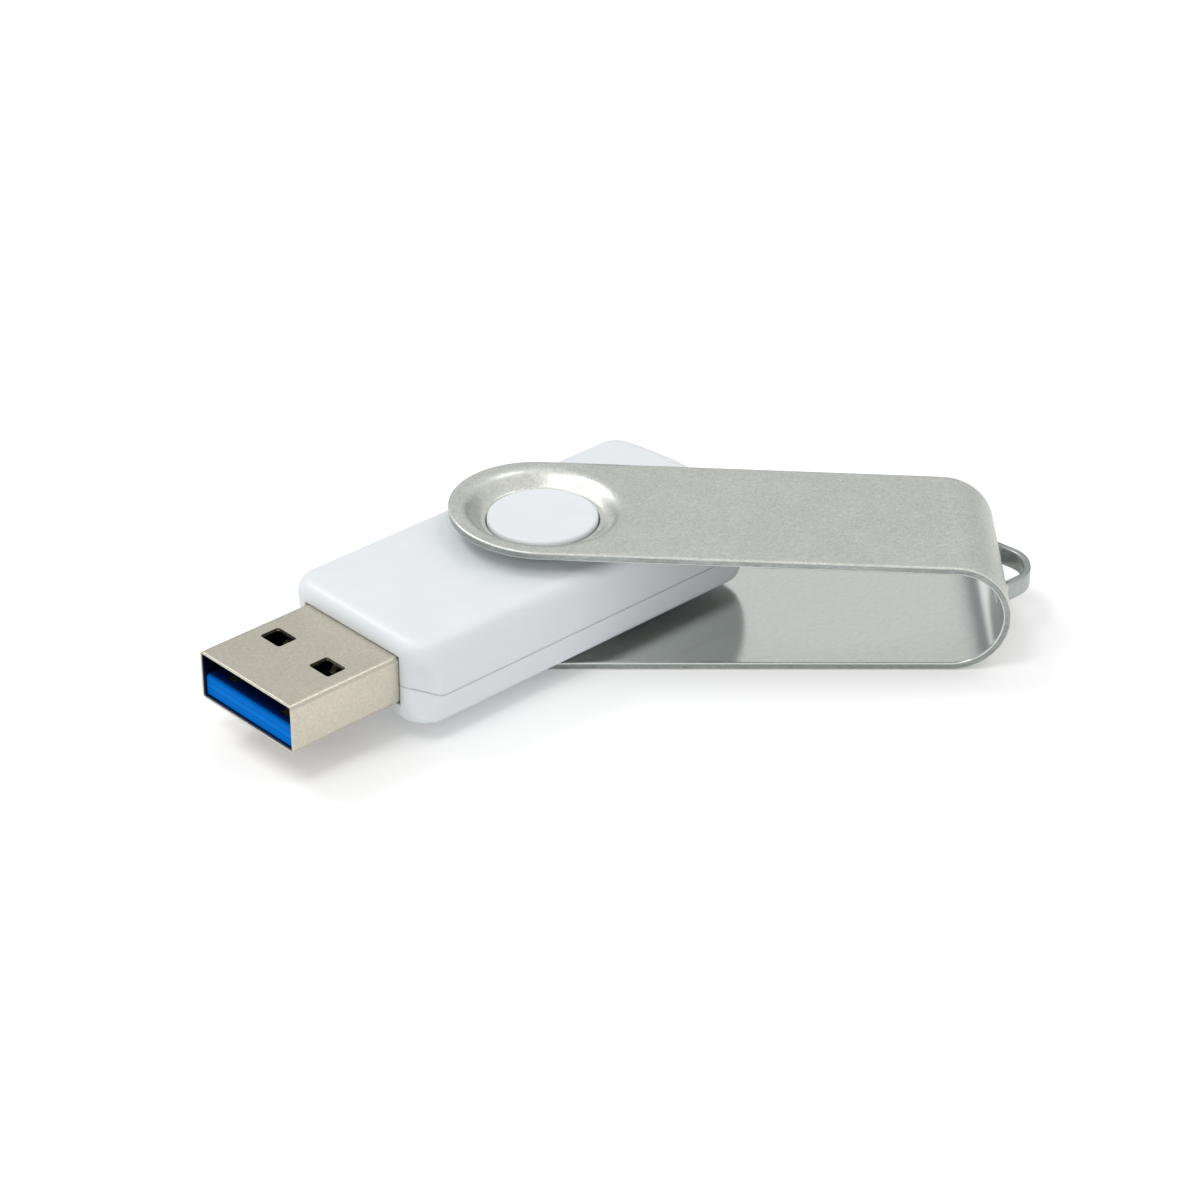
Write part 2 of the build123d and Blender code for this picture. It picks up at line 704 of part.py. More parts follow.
def chip_bodies(places, height, size, align):
    """Ceramic bodies of chip parts that lie across the board, between their terminals."""
    with Locations(*places):
        Box(size[1], size[0] - 2 * terminal_length, height, align=align)


def chip_terminals(places, height, size, align):
    """Metal ends of the same chip parts."""
    end_y = (size[0] - terminal_length) / 2
    with Locations(*places):
        with Locations((0, -end_y), (0, end_y)):
            Box(size[1], terminal_length, height, align=align)


capacitor_places_top = [(x, y, board_top_z) for x, y in capacitors_top]
capacitor_places_bottom = [(x, y, board_bottom_z) for x, y in capacitors_bottom]
resistor_places = [(x, y, board_bottom_z) for x, y in resistors_bottom]
inductor_place = [(*inductor_centre, board_bottom_z)]
led_place = [(led_setback - board_rear, 0, board_top_z)]

with BuildPart() as capacitor_bodies:
    chip_bodies(capacitor_places_top, chip_part_size[2], chip_part_size, on_top)
    chip_bodies(capacitor_places_bottom, chip_part_size[2], chip_part_size, underneath)
capacitor_bodies.part.label = "capacitor_bodies"

with BuildPart() as capacitor_terminals:
    chip_terminals(capacitor_places_top, chip_part_size[2], chip_part_size, on_top)
    chip_terminals(capacitor_places_bottom, chip_part_size[2], chip_part_size, underneath)
capacitor_terminals.part.label = "capacitor_terminals"

with BuildPart() as resistor_bodies:
    chip_bodies(resistor_places, resistor_height, chip_part_size, underneath)
resistor_bodies.part.label = "resistor_bodies"

with BuildPart() as resistor_terminals:
    chip_terminals(resistor_places, resistor_height, chip_part_size, underneath)
resistor_terminals.part.label = "resistor_terminals"

with BuildPart() as inductor_body:
    chip_bodies(inductor_place, inductor_size[2], inductor_size, underneath)
inductor_body.part.label = "inductor_body"

with BuildPart() as inductor_terminals:
    chip_terminals(inductor_place, inductor_size[2], inductor_size, underneath)
inductor_terminals.part.label = "inductor_terminals"

with BuildPart() as led_base:
    with Locations(*led_place):
        Box(*led_size, led_base_height, align=on_top)
led_base.part.label = "led_base"

with BuildPart() as led_lens:
    with Locations((led_place[0][0], 0, board_top_z + led_base_height)):
        Box(led_size[0], led_size[1] - 2 * terminal_length, led_lens_height, align=on_top)
led_lens.part.label = "led_lens"

# ---------------------------------------------------------------- export

pieces = (
    swivel_clip, upper_case, lower_case,
    plug_shell, plug_insulator, contact_retainer, usb2_contacts, superspeed_contacts,
    circuit_board, shell_solder, contact_solder,
    flash_chip, flash_leads, controller_chip, controller_pads,
    crystal_base, crystal_lid, regulator_body, regulator_leads,
    capacitor_bodies, capacitor_terminals, resistor_bodies, resistor_terminals,
    inductor_body, inductor_terminals, led_base, led_lens,
)
os.makedirs("parts", exist_ok=True)
for piece in pieces:
    export_step(piece.part, f"parts/{piece.part.label}.step")
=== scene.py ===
"""Studio picture of a white USB flash drive with a steel swivel clip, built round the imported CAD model.

Every length is in metres in the model's own frame: the origin is on the swivel axis, on the table,
+X runs out of the plug and +Z is up.
"""
import math

import bpy
import numpy as np
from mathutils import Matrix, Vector


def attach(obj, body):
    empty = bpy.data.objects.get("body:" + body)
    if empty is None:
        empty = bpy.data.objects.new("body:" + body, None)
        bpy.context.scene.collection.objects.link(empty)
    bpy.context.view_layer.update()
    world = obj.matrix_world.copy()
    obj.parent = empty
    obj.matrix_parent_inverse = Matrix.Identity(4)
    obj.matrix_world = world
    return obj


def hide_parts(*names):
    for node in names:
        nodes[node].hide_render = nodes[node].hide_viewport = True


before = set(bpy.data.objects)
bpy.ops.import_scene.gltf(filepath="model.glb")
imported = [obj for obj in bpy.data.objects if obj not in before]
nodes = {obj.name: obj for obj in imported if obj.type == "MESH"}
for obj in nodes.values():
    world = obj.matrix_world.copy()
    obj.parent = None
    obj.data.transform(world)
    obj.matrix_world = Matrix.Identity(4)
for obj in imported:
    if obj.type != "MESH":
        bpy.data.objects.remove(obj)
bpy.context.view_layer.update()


# ---------------------------------------------------------------- sizes, as in the part's source

MM = 0.001

# Swivel clip
CLIP_ANGLE = math.radians(137)  # from +X to the clip's length
SHEET = 0.7 * MM
CLIP_HALF = 8.1 * MM            # half width, and radius of the round ends
BEND_RADIUS = 5.0 * MM          # outside of the bend
BEND_CENTRE = 34.7 * MM         # swivel axis to the middle of the bend
SPLAY = math.radians(2.4)       # rise of the upper arm towards the hub
HUB_HOLE = 4.9 * MM
DISH_FLOOR = 5.25 * MM
DISH_RIM = 7.0 * MM
RIM_CLEARANCE = 0.12 * MM       # dished rim to the case
EDGE_ROUND = 0.13 * MM

# Lanyard loop
LOOP_HALF_HEIGHT = 0.875 * MM
LOOP_BASE = CLIP_HALF / 2       # half width of the slits
LOOP_SHEET = 0.6 * MM
LOOP_CREST = 42.1 * MM - LOOP_SHEET / 2
LOOP_CREST_HALF = 1.5 * MM
LOOP_SHOULDER = 2.9 * MM        # radius of the corners by the crest
LOOP_ROOT = 0.45 * MM           # radius of the corners at the bend
LOOP_ROOT_INSET = 0.35 * MM

# Case and plug
CASE_BOTTOM = 1.8 * MM
CASE_TOP = 9.4 * MM
PLUG_MIDDLE = 5.6 * MM          # height above the table
PLUG_INSIDE_HALF_WIDTH = 5.8 * MM
PLUG_INSIDE_HALF_HEIGHT = 2.05 * MM
TONGUE_FRONT = 32.1 * MM        # from the swivel axis
TONGUE_LOW = 3.9 * MM           # height above the table

# Camera
VIEW_TARGET = Vector((-0.3, 6.9, 5.0)) * MM
VIEW_AZIMUTH = 47.04            # degrees from +X towards +Y
VIEW_ELEVATION = 30.55
VIEW_DISTANCE = 295.6 * MM
LENS = 103.97                   # millimetres, on a 36 mm sensor
LIGHT_DISTANCE = 700 * MM


# ---------------------------------------------------------------- shader helpers

def new_material(name):
    """A node material, with its tree and its Principled shader."""
    material = bpy.data.materials.new(name)
    material.use_nodes = True
    tree = material.node_tree
    return material, tree, tree.nodes["Principled BSDF"]


def set_inputs(shader, **values):
    """Sets sockets of a shader by name, with underscores for the spaces."""
    for name, value in values.items():
        shader.inputs[name.replace("_", " ")].default_value = value


def object_coordinates(tree, scale=(1, 1, 1), rotation_z=0.0):
    """Object coordinates in millimetres, stretched by scale."""
    place = tree.nodes.new("ShaderNodeTexCoord")
    mapping = tree.nodes.new("ShaderNodeMapping")
    mapping.inputs["Scale"].default_value = [s / MM for s in scale]
    mapping.inputs["Rotation"].default_value = (0, 0, rotation_z)
    tree.links.new(place.outputs["Object"], mapping.inputs["Vector"])
    return mapping.outputs["Vector"]


def noise(tree, vector, scale, detail=3.0, roughness=0.5, distortion=0.0):
    """Noise from 0 to 1, with scale features per millimetre."""
    texture = tree.nodes.new("ShaderNodeTexNoise")
    texture.inputs["Scale"].default_value = scale
    texture.inputs["Detail"].default_value = detail
    texture.inputs["Roughness"].default_value = roughness
    texture.inputs["Distortion"].default_value = distortion
    tree.links.new(vector, texture.inputs["Vector"])
    return texture.outputs["Fac"]


def ramp(tree, factor, stops):
    """Colour ramp with (position, colour) stops."""
    node = tree.nodes.new("ShaderNodeValToRGB")
    band = node.color_ramp
    while len(band.elements) < len(stops):
        band.elements.new(0.5)
    for element, (position, colour) in zip(band.elements, stops):
        element.position = position
        element.color = (*colour, 1.0)
    tree.links.new(factor, node.inputs["Fac"])
    return node.outputs["Color"]


def remap(tree, value, start=0.0, end=1.0, low=0.0, high=1.0, smooth=False):
    """Maps start..end to low..high, and holds the ends."""
    node = tree.nodes.new("ShaderNodeMapRange")
    if smooth:
        node.interpolation_type = "SMOOTHSTEP"
    for name, number in (("From Min", start), ("From Max", end), ("To Min", low), ("To Max", high)):
        node.inputs[name].default_value = number
    tree.links.new(value, node.inputs["Value"])
    return node.outputs["Result"]


def calculate(tree, operation, *operands):
    """Math node: each operand is a socket to link or a number."""
    node = tree.nodes.new("ShaderNodeMath")
    node.operation = operation
    for socket, operand in zip(node.inputs, operands):
        if isinstance(operand, bpy.types.NodeSocket):
            tree.links.new(operand, socket)
        else:
            socket.default_value = operand
    return node.outputs[0]


def add_bump(tree, shader, height, distance, under=None):
    """Bump of a real depth in metres. under is the normal output that it lies on."""
    bump = tree.nodes.new("ShaderNodeBump")
    bump.inputs["Distance"].default_value = distance
    bump.inputs["Strength"].default_value = 1.0
    tree.links.new(height, bump.inputs["Height"])
    if under is not None:
        tree.links.new(under, bump.inputs["Normal"])
    tree.links.new(bump.outputs["Normal"], shader.inputs["Normal"])


def soft_edges(tree, radius):
    """Normal output that rounds the shading of edges over this radius."""
    bevel = tree.nodes.new("ShaderNodeBevel")
    bevel.samples = 8
    bevel.inputs["Radius"].default_value = radius
    return bevel.outputs["Normal"]


def moulded_plastic(name, light, dark, roughness, scatter=0.0, edge_softness=0.0):
    """Moulded plastic: faint mottling of the colour, a fine satin texture and slow unevenness of the gloss."""
    material, tree, shader = new_material(name)
    place = object_coordinates(tree)
    mottle = noise(tree, place, 0.35, 2.0)
    tree.links.new(ramp(tree, mottle, [(0.3, dark), (0.7, light)]), shader.inputs["Base Color"])
    gloss = noise(tree, place, 1.3, 4.0)
    tree.links.new(remap(tree, gloss, low=roughness - 0.04, high=roughness + 0.05), shader.inputs["Roughness"])
    softened = soft_edges(tree, edge_softness) if edge_softness else None
    add_bump(tree, shader, noise(tree, place, 9.0, 3.0, 0.6), 0.0006 * MM, under=softened)
    set_inputs(shader, IOR=1.49)
    if scatter:
        set_inputs(shader, Subsurface_Weight=scatter, Subsurface_Radius=(1.0, 0.95, 0.9),
                   Subsurface_Scale=0.35 * MM)
    return material


def matt_bend(tree, extra):
    """Roughness to add where the bend has stretched the sheet: none on the arms, extra at the far end."""
    place = tree.nodes.new("ShaderNodeTexCoord")
    along = tree.nodes.new("ShaderNodeVectorMath")
    along.operation = "DOT_PRODUCT"
    along.inputs[1].default_value = (math.cos(CLIP_ANGLE), math.sin(CLIP_ANGLE), 0.0)
    tree.links.new(place.outputs["Object"], along.inputs[0])
    start, end = BEND_CENTRE - 2.0 * MM, BEND_CENTRE + 3.0 * MM
    return remap(tree, along.outputs["Value"], start, end, high=extra, smooth=True)


def rolled_metal(name, light, dark, roughness, grain, streak=(1, 1, 1), turn=0.0, depth=0.0012 * MM,
                 rough_swing=0.05, swirl=0.3, fine_share=0.6, bend_extra=0.0):
    """Sheet metal: fine grain in colour, gloss and height, drawn out by streak and turn.

    grain is its fineness per millimetre and swirl its distortion. fine_share is how much of the pattern is
    fine and not broad clouding, rough_swing is how far the gloss varies, and bend_extra is the roughness
    that the clip's bend adds.
    """
    material, tree, shader = new_material(name)
    place = object_coordinates(tree, streak, turn)
    fine = noise(tree, place, grain, 5.0, 0.65, swirl)
    broad = noise(tree, place, grain * 0.08, 3.0)
    broad_part = calculate(tree, "MULTIPLY", broad, 1 - fine_share)
    mixed = calculate(tree, "MULTIPLY_ADD", fine, fine_share, broad_part)
    tree.links.new(ramp(tree, mixed, [(0.32, dark), (0.68, light)]), shader.inputs["Base Color"])
    gloss = remap(tree, mixed, low=roughness - rough_swing, high=roughness + rough_swing)
    if bend_extra:
        gloss = calculate(tree, "ADD", gloss, matt_bend(tree, bend_extra))
    tree.links.new(gloss, shader.inputs["Roughness"])
    add_bump(tree, shader, fine, depth)
    set_inputs(shader, Metallic=1.0)
    return material


def plain_part(name, colour, roughness, metallic=0.0):
    """Finish of a small electronic part: slight colour variation and a fine texture."""
    material, tree, shader = new_material(name)
    place = object_coordinates(tree)
    fine = noise(tree, place, 4.0, 4.0, 0.6)
    dark = tuple(c * 0.8 for c in colour)
    tree.links.new(ramp(tree, fine, [(0.3, dark), (0.7, colour)]), shader.inputs["Base Color"])
    tree.links.new(remap(tree, fine, low=roughness - 0.05, high=roughness + 0.05), shader.inputs["Roughness"])
    add_bump(tree, shader, fine, 0.001 * MM)
    set_inputs(shader, Metallic=metallic)
    return material


def shaded_tongue(name):
    """Blue insulator with painted shade: bright on the tongue's front and painted darker further inside, where
    the shell shades it, with darker lines along the front at set heights.
    """
    material, tree, shader = new_material(name)
    place = object_coordinates(tree)
    split = tree.nodes.new("ShaderNodeSeparateXYZ")
    tree.links.new(place, split.inputs["Vector"])
    front = TONGUE_FRONT / MM
    depth = remap(tree, split.outputs["X"], front - 3.0, front - 0.02)
    # Painted shade: over the 3 mm behind the tongue's front the blue darkens to near black, for the shade
    # inside the shell.
    painted_inside_shade = [
        (0.0, (0.0002, 0.002, 0.014)),
        (0.75, (0.0, 0.011, 0.075)),
        (0.9, (0.0, 0.024, 0.16)),
        (1.0, (0.0, 0.170, 0.62)),
    ]
    low = TONGUE_LOW / MM
    wavy = calculate(tree, "MULTIPLY_ADD", noise(tree, place, 0.5, 2.0), 0.22, split.outputs["Z"])
    height = remap(tree, wavy, low, low + 2.0)
    plain, line, shade = (1.0, 1.0, 1.0), (0.45, 0.50, 0.58), (0.80, 0.84, 0.90)
    lines = [
        (0.0, shade), (0.27, shade), (0.30, line), (0.33, plain), (0.52, plain),
        (0.545, line), (0.57, shade), (0.72, shade), (0.78, plain),
    ]
    tint = tree.nodes.new("ShaderNodeMix")
    tint.data_type = "RGBA"
    tint.blend_type = "MULTIPLY"
    factor, first, second = (tint.inputs[i] for i in (0, 6, 7))
    factor.default_value = 1.0
    tree.links.new(ramp(tree, depth, painted_inside_shade), first)
    tree.links.new(ramp(tree, height, lines), second)
    tree.links.new(tint.outputs[2], shader.inputs["Base Color"])
    add_bump(tree, shader, noise(tree, place, 6.0, 3.0, 0.6), 0.001 * MM)
    set_inputs(shader, Roughness=0.55, Specular_IOR_Level=0.02)
    return material


case_white = moulded_plastic("case_white", (0.672, 0.702, 0.722), (0.657, 0.687, 0.707), 0.40,
                             scatter=0.1, edge_softness=0.3 * MM)
retainer_black = moulded_plastic("retainer_black", (0.03, 0.03, 0.035), (0.02, 0.02, 0.025), 0.5)
clip_outside = rolled_metal(
    "clip_outside", (0.765, 0.78, 0.725), (0.515, 0.53, 0.488), 0.37, 3.4, (0.7, 1, 1), -CLIP_ANGLE,
    depth=0.0030 * MM, swirl=1.6, fine_share=0.88, bend_extra=0.16)
clip_inside = rolled_metal(
    "clip_inside", (0.69, 0.715, 0.685), (0.62, 0.645, 0.615), 0.15, 4.0, (0.4, 1, 1), -CLIP_ANGLE,
    depth=0.0004 * MM, rough_swing=0.03, fine_share=0.8, bend_extra=0.08)
# Painted shade: the cut edges are the clip's own steel, coloured darker for the shade on these sideways faces.
clip_edge_painted_shade = rolled_metal(
    "clip_edge_painted_shade", (0.40, 0.43, 0.415), (0.20, 0.215, 0.21), 0.30, 6.0, (0.4, 0.4, 1.5), -CLIP_ANGLE)
# Painted shade: the loop is the clip's own steel, coloured darker for the shade on its upright strip.
clip_loop_painted_shade = rolled_metal(
    "clip_loop_painted_shade", (0.46, 0.485, 0.475), (0.32, 0.34, 0.335), 0.34, 4.0, depth=0.0022 * MM)
plug_nickel = rolled_metal(
    "plug_nickel", (0.665, 0.63, 0.535), (0.50, 0.468, 0.395), 0.37, 4.5,
    depth=0.0018 * MM, swirl=0.8, fine_share=0.85)
# Painted shade: near-black stand-in for the nickel on the inside of the plug's shell.
plug_inside_painted_shade = plain_part("plug_inside_painted_shade", (0.05, 0.07, 0.11), 0.35, 1.0)
tongue_blue = shaded_tongue("tongue_blue")
gold = plain_part("contact_gold", (0.90, 0.74, 0.42), 0.3, 1.0)
solder_mask = plain_part("board_green", (0.015, 0.16, 0.06), 0.35)
solder = plain_part("solder", (0.72, 0.73, 0.75), 0.25, 1.0)
mould_compound = plain_part("chip_black", (0.025, 0.025, 0.027), 0.6)
tin = plain_part("tin", (0.68, 0.68, 0.69), 0.3, 1.0)
dark_ceramic = plain_part("dark_ceramic", (0.05, 0.05, 0.055), 0.5)
tan_ceramic = plain_part("tan_ceramic", (0.42, 0.28, 0.16), 0.5)
white_ceramic = plain_part("white_ceramic", (0.8, 0.8, 0.77), 0.5)
ferrite = plain_part("ferrite", (0.10, 0.10, 0.11), 0.55)
lens = plain_part("lens", (0.75, 0.85, 0.95), 0.2)

NODE_MATERIALS = {
    "upper_case": case_white,
    "lower_case": case_white,
    "plug_shell": plug_nickel,
    "plug_insulator": tongue_blue,
    "contact_retainer": retainer_black,
    "usb2_contacts": gold,
    "superspeed_contacts": gold,
    "circuit_board": solder_mask,
    "shell_solder": solder,
    "contact_solder": solder,
    "flash_chip": mould_compound,
    "flash_leads": tin,
    "controller_chip": mould_compound,
    "controller_pads": tin,
    "crystal_base": dark_ceramic,
    "crystal_lid": tin,
    "regulator_body": mould_compound,
    "regulator_leads": tin,
    "capacitor_bodies": tan_ceramic,
    "capacitor_terminals": tin,
    "resistor_bodies": dark_ceramic,
    "resistor_terminals": tin,
    "inductor_body": ferrite,
    "inductor_terminals": tin,
    "led_base": white_ceramic,
    "led_lens": lens,
    "swivel_clip": clip_outside,
}
for node_name, material in NODE_MATERIALS.items():
    nodes[node_name].data.materials.clear()
    nodes[node_name].data.materials.append(material)

# Painted shade: the inner faces of the plug's shell are in deep shade, so they get a near-black material and
# not the nickel.
shell = nodes["plug_shell"].data
shell.materials.append(plug_inside_painted_shade)
for polygon in shell.polygons:
    aside, above = abs(polygon.center.y), abs(polygon.center.z - PLUG_MIDDLE)
    if aside < PLUG_INSIDE_HALF_WIDTH and above < PLUG_INSIDE_HALF_HEIGHT:
        polygon.material_index = 1


# ---------------------------------------------------------------- swivel clip

# Side view of the middle of the sheet: the bend's centre, the end of the upper arm, and the lengths
# along the path from the upper hub to the lower one.
MIDDLE_RADIUS = BEND_RADIUS - SHEET / 2
CROWN = Vector((BEND_CENTRE, BEND_RADIUS))
TANGENT = CROWN + MIDDLE_RADIUS * Vector((math.sin(SPLAY), math.cos(SPLAY)))
UPPER = TANGENT.x / math.cos(SPLAY)
BEND = MIDDLE_RADIUS * (math.pi - SPLAY)
PATH_LENGTH = UPPER + BEND + BEND_CENTRE
BEND_MIDDLE = UPPER + MIDDLE_RADIUS * (math.pi / 2 - SPLAY)


def on_path(u):
    """Point (along, height) of the sheet's middle at path length u from the upper hub."""
    if u < UPPER:
        return TANGENT.x + (u - UPPER) * math.cos(SPLAY), TANGENT.y - (u - UPPER) * math.sin(SPLAY)
    if u < UPPER + BEND:
        angle = math.pi / 2 - SPLAY - (u - UPPER) / MIDDLE_RADIUS
        return CROWN.x + MIDDLE_RADIUS * math.cos(angle), CROWN.y + MIDDLE_RADIUS * math.sin(angle)
    return BEND_CENTRE - (u - UPPER - BEND), SHEET / 2


def dish_share(radius):
    """0 on the flat arm, 1 on the flat rim of the hub hole, with soft shoulders between."""
    t = min(max((DISH_RIM - radius) / (DISH_RIM - DISH_FLOOR), 0.0), 1.0)
    return t * t * (3 - 2 * t)


def folded(u, v):
    """Folds a point of the flat blank: u along the path, v across."""
    along, height = on_path(u)
    if u < UPPER:
        share = dish_share(math.hypot(u, v))
        height += share * (CASE_TOP + RIM_CLEARANCE + SHEET / 2 - height)
    elif u > UPPER + BEND:
        share = dish_share(math.hypot(PATH_LENGTH - u, v))
        height += share * (CASE_BOTTOM - RIM_CLEARANCE - SHEET / 2 - height)
    return Vector((along, v, height))


def loop_route(count):
    """Plan view of the loop strip's middle: out from the bend, across the crest and back, evenly spaced."""
    root = BEND_CENTRE + MIDDLE_RADIUS
    corners = [
        Vector((root, -LOOP_BASE - LOOP_SHEET / 2)),
        Vector((root, -LOOP_BASE + LOOP_ROOT_INSET)),
        Vector((LOOP_CREST, -LOOP_CREST_HALF)),
        Vector((LOOP_CREST, LOOP_CREST_HALF)),
        Vector((root, LOOP_BASE - LOOP_ROOT_INSET)),
        Vector((root, LOOP_BASE + LOOP_SHEET / 2)),
    ]
    radii = [0, LOOP_ROOT, LOOP_SHOULDER, LOOP_SHOULDER, LOOP_ROOT, 0]
    points = [corners[0]]
    for i in range(1, len(corners) - 1):
        before = (corners[i - 1] - corners[i]).normalized()
        after = (corners[i + 1] - corners[i]).normalized()
        half = before.angle(after) / 2
        reach = radii[i] / math.tan(half)
        centre = corners[i] + (before + after).normalized() * radii[i] / math.sin(half)
        start = (corners[i] + before * reach - centre).normalized()
        end = (corners[i] + after * reach - centre).normalized()
        steps = 14
        for k in range(steps + 1):
            points.append(centre + start.lerp(end, k / steps).normalized() * radii[i])
    points.append(corners[-1])
    lengths = [0.0]
    for a, b in zip(points, points[1:]):
        lengths.append(lengths[-1] + (b - a).length)
    wanted = np.linspace(0, lengths[-1], count)
    along, across = (np.interp(wanted, lengths, [point[axis] for point in points]) for axis in (0, 1))
    return [Vector(pair) for pair in zip(along, across)]


ACROSS = 64                     # columns over the width of an arm
SIDE = 12                       # ring columns on each straight side next to the hub
RING = 2 * (ACROSS + 2 * SIDE)
DISH_RINGS = 13                 # rings over the slope of a dish
HOLE_RING = 0.17 * MM           # hole to the next ring, clear of the rounded rim
RIM_RING = 0.3 * MM             # dish to the next ring outside it
OUTER = 4                       # ring rows from there out to the edge
ARM_START = 9.5 * MM            # path length where the rings round a hub give way to the grid
ARM_STEP = 1.5 * MM             # row spacing on the flat arms
BEND_STEP = 0.3 * MM            # row spacing round the bend


COLUMNS = [CLIP_HALF * (2 * j / ACROSS - 1) for j in range(ACROSS + 1)]


def rows(start, end, step):
    """Evenly spaced lines from start up to, but not on, end."""
    count = max(1, round((end - start) / step))
    return list(np.linspace(start, end, count + 1)[:-1])


def grid_lines():
    """Path lengths of the rows between the two hubs, and which of them bound the loop's slits."""
    slit = MIDDLE_RADIUS * math.asin(LOOP_HALF_HEIGHT / MIDDLE_RADIUS)
    window_start, window_end = BEND_MIDDLE - slit, BEND_MIDDLE + slit
    lines = rows(ARM_START, UPPER, ARM_STEP) + rows(UPPER, window_start, BEND_STEP)
    first = len(lines)
    lines += rows(window_start, window_end, BEND_STEP)
    last = len(lines)
    lines += rows(window_end, UPPER + BEND, BEND_STEP)
    lines += rows(UPPER + BEND, PATH_LENGTH - ARM_START, ARM_STEP)
    lines.append(PATH_LENGTH - ARM_START)
    return lines, first, last


def spoke_end(k):
    """Outer end of a spoke round a hub: on the grid's first line, a straight side or the round end."""
    if k <= ACROSS:
        return Vector((ARM_START, COLUMNS[k]))
    if k <= ACROSS + SIDE:
        return Vector((ARM_START * (1 - (k - ACROSS) / SIDE), CLIP_HALF))
    if k < RING - SIDE:
        share = (k - ACROSS - SIDE) / (RING - ACROSS - 2 * SIDE)
        angle = math.pi / 2 + math.pi * share
        return CLIP_HALF * Vector((math.cos(angle), math.sin(angle)))
    return Vector((ARM_START * (k - RING + SIDE) / SIDE, -CLIP_HALF))


def blank_mesh():
    """Middle surface of the folded sheet: vertices, quads, and the sheet's thickness at each vertex."""
    points, quads, keys, thickness = [], [], {}, []

    def vertex(key, point, sheet=SHEET):
        keys[key] = len(points)
        points.append(point)
        thickness.append(sheet)

    lines, first, last = grid_lines()
    left, right = ACROSS // 4, 3 * ACROSS // 4
    route = loop_route(right - left + 1)
    for i, u in enumerate(lines):
        for j, v in enumerate(COLUMNS):
            vertex(("grid", i, j), folded(u, v))

    def cell(kind, i, j):
        quads.append([keys[kind, i, j], keys[kind, i + 1, j], keys[kind, i + 1, j + 1], keys[kind, i, j + 1]])

    for i in range(len(lines) - 1):
        for j in range(ACROSS):
            if not (first <= i < last and left <= j < right):
                cell("grid", i, j)
    # The strip of the loop shares only its two ends with the bend.
    for i in range(first, last + 1):
        height = on_path(lines[i])[1]
        for j in range(left, right + 1):
            if j in (left, right):
                keys["loop", i, j] = keys["grid", i, j]
            else:
                vertex(("loop", i, j), Vector((*route[j - left], height)), LOOP_SHEET)
    for i in range(first, last):
        for j in range(left, right):
            cell("loop", i, j)

    # Rings round each hub hole, from the hole out to the round end and the first line of the grid.
    slope = np.linspace(DISH_FLOOR, DISH_RIM, DISH_RINGS)
    radii = [HUB_HOLE, HUB_HOLE + HOLE_RING, *slope, DISH_RIM + RIM_RING]
    outermost = len(radii) - 1 + OUTER
    for hub, line in (("upper", 0), ("lower", len(lines) - 1)):
        for k in range(RING):
            end = spoke_end(k)
            inner = end.normalized()
            spots = [inner * radius for radius in radii]
            spots += [spots[-1].lerp(end, m / OUTER) for m in range(1, OUTER + 1)]
            for m, spot in enumerate(spots):
                if m == outermost and k <= ACROSS:
                    keys[hub, k, m] = keys["grid", line, k]
                else:
                    vertex((hub, k, m), folded(spot.x if hub == "upper" else PATH_LENGTH - spot.x, spot.y))
        for k in range(RING):
            n = (k + 1) % RING
            for m in range(outermost):
                quad = [keys[hub, k, m], keys[hub, n, m], keys[hub, n, m + 1], keys[hub, k, m + 1]]
                quads.append(quad[::-1] if hub == "upper" else quad)
    return points, quads, thickness


def vertex_normals(points, quads):
    """Unit normal of every vertex, weighted by the area of its quads."""
    normals = np.zeros((len(points), 3))
    place = np.array(points)
    corners = place[np.array(quads)]
    face = np.cross(corners[:, 2] - corners[:, 0], corners[:, 3] - corners[:, 1])
    for c in range(4):
        np.add.at(normals, np.array(quads)[:, c], face)
    return normals / np.linalg.norm(normals, axis=1, keepdims=True)


def boundary_loops(quads):
    """Directed edges used by one quad only, joined into closed loops."""
    edges = dict.fromkeys(pair for quad in quads for pair in zip(quad, quad[1:] + quad[:1]))  # in order
    following = {}
    for a, b in edges:
        if (b, a) not in edges:
            following.setdefault(a, []).append(b)
    loops = []
    while following:
        start = next(iter(following))
        loop, at = [], start
        while not loop or at != start:
            loop.append(at)
            choices = following.pop(at)
            if len(choices) > 1:
                following[at] = choices[:-1]
            at = choices[-1]
        loops.append(loop)
    return loops


RIM_STEPS = 3                   # faces round each edge of the rim
RIM_ROUTE = [(1, 1), (1, 2), (1, 3), (-1, 3), (-1, 2), (-1, 1)]     # side of the sheet, step
LOOP_SKIN = 3                   # after thicken's outside, inside and cut edge


